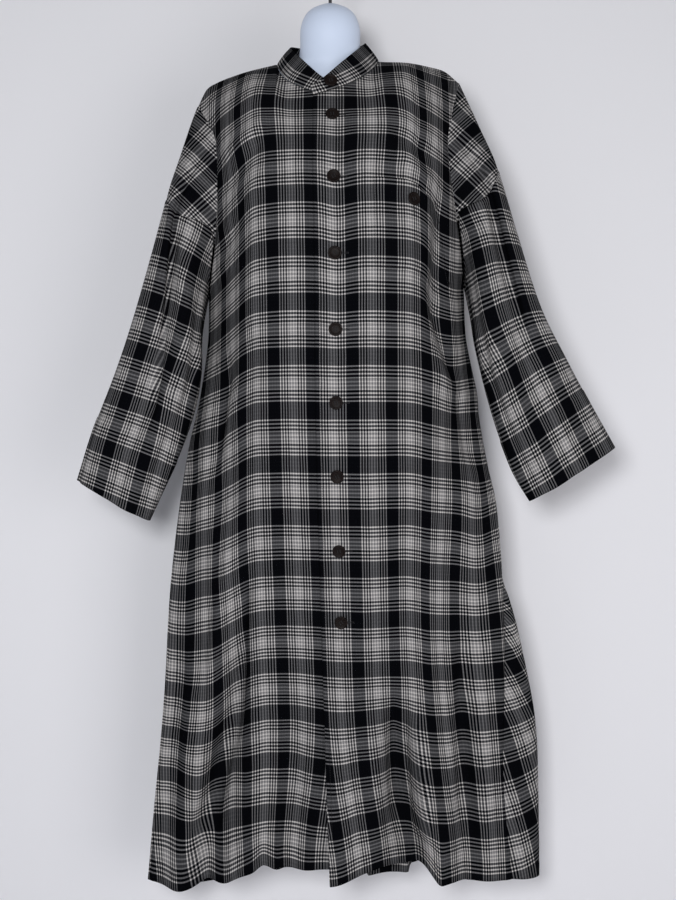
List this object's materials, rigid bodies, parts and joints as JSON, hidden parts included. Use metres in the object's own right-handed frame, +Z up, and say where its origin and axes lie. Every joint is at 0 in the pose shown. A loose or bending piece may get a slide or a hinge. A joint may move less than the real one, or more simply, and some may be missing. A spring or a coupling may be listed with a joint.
{
  "type": "long band-collar maxi shirt on a hanging torso form",
  "caption": "Long button-front shirt with band collar, dropped shoulders, wide sleeves and a chest pocket, worn by a limbless torso form that hangs from a wire hook.",
  "frame": {"origin": "bearing point on the underside of the hook's crest, where the hook hangs from its rail", "axes": "+Z up, -Y the buttoned front, +X the wearer's left side"},
  "size_m": [0.8265, 0.2288, 1.4677],
  "materials": {
    "check_cloth": "matte woven check",
    "button": "satin",
    "form_shell": "smooth satin",
    "hook_steel": "dark satin"
  },
  "bodies": {
    "root": {"front_right": "check_cloth", "front_left": "check_cloth", "back": "check_cloth", "sleeve_right": "check_cloth", "sleeve_left": "check_cloth", "collar": "check_cloth", "pocket": "check_cloth", "button_1": "button", "button_2": "button", "button_3": "button", "button_4": "button", "button_5": "button", "button_6": "button", "button_7": "button", "button_8": "button", "button_collar": "button", "button_pocket": "button", "torso_form": "form_shell", "hook": "hook_steel"}
  },
  "joints": []
}
